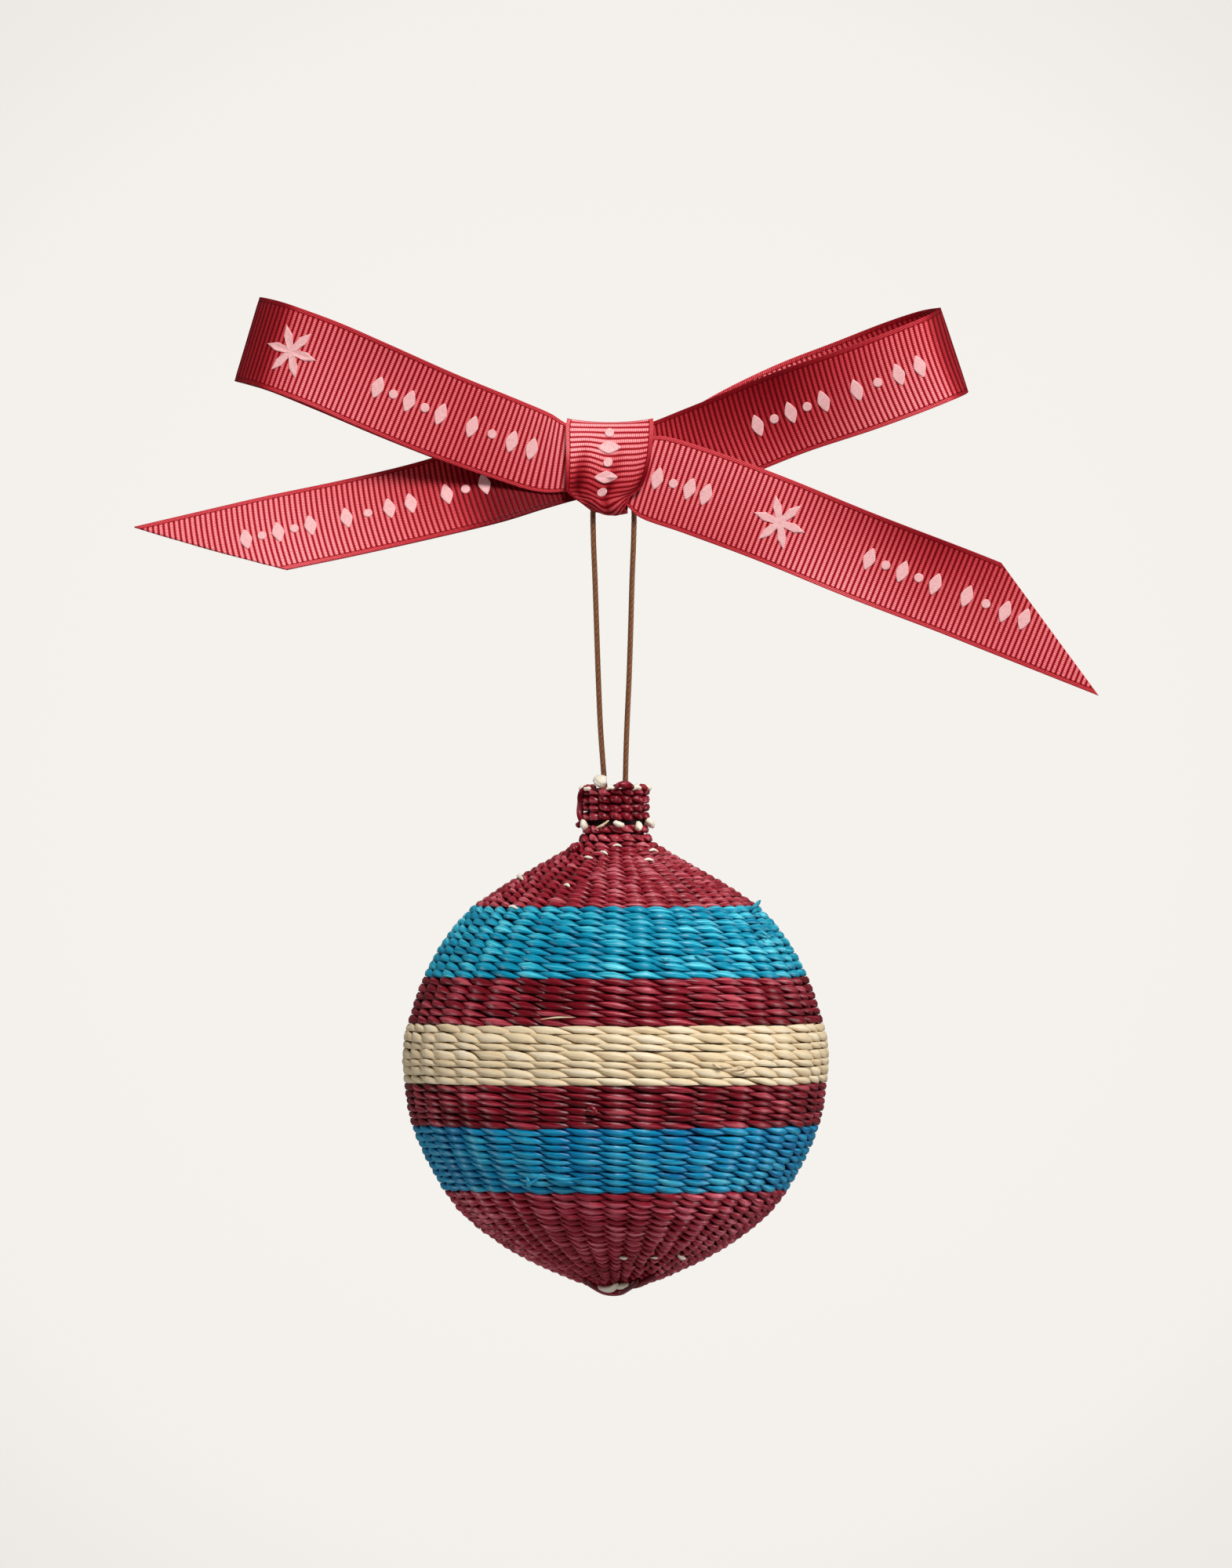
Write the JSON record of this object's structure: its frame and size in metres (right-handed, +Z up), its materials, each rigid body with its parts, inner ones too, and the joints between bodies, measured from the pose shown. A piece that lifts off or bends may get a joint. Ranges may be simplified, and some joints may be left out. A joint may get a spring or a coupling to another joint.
{
  "type": "christmas bauble",
  "caption": "Round bauble twined from dyed straw with a short neck, hung on a waxed cord loop under a grosgrain ribbon bow.",
  "frame": {"origin": "where a hook takes the cord's loop, just under the bow's knot", "axes": "+Z up, along the cord from the bauble to the bow; +X to the right of the bow's front; -Y towards the viewer of the bow's front"},
  "size_m": [0.1762, 0.078, 0.1818],
  "materials": {
    "dyed_straw": "twined straw, dyed burgundy, turquoise and blue with an undyed band, satin",
    "waxed_cord": "brown waxed cord, slightly glossy",
    "rose_grosgrain": "ribbed grosgrain, satin threads"
  },
  "bodies": {
    "root": {"woven_globe": "dyed_straw", "hanging_cord": "waxed_cord", "ribbon_bow": "rose_grosgrain"}
  },
  "joints": []
}
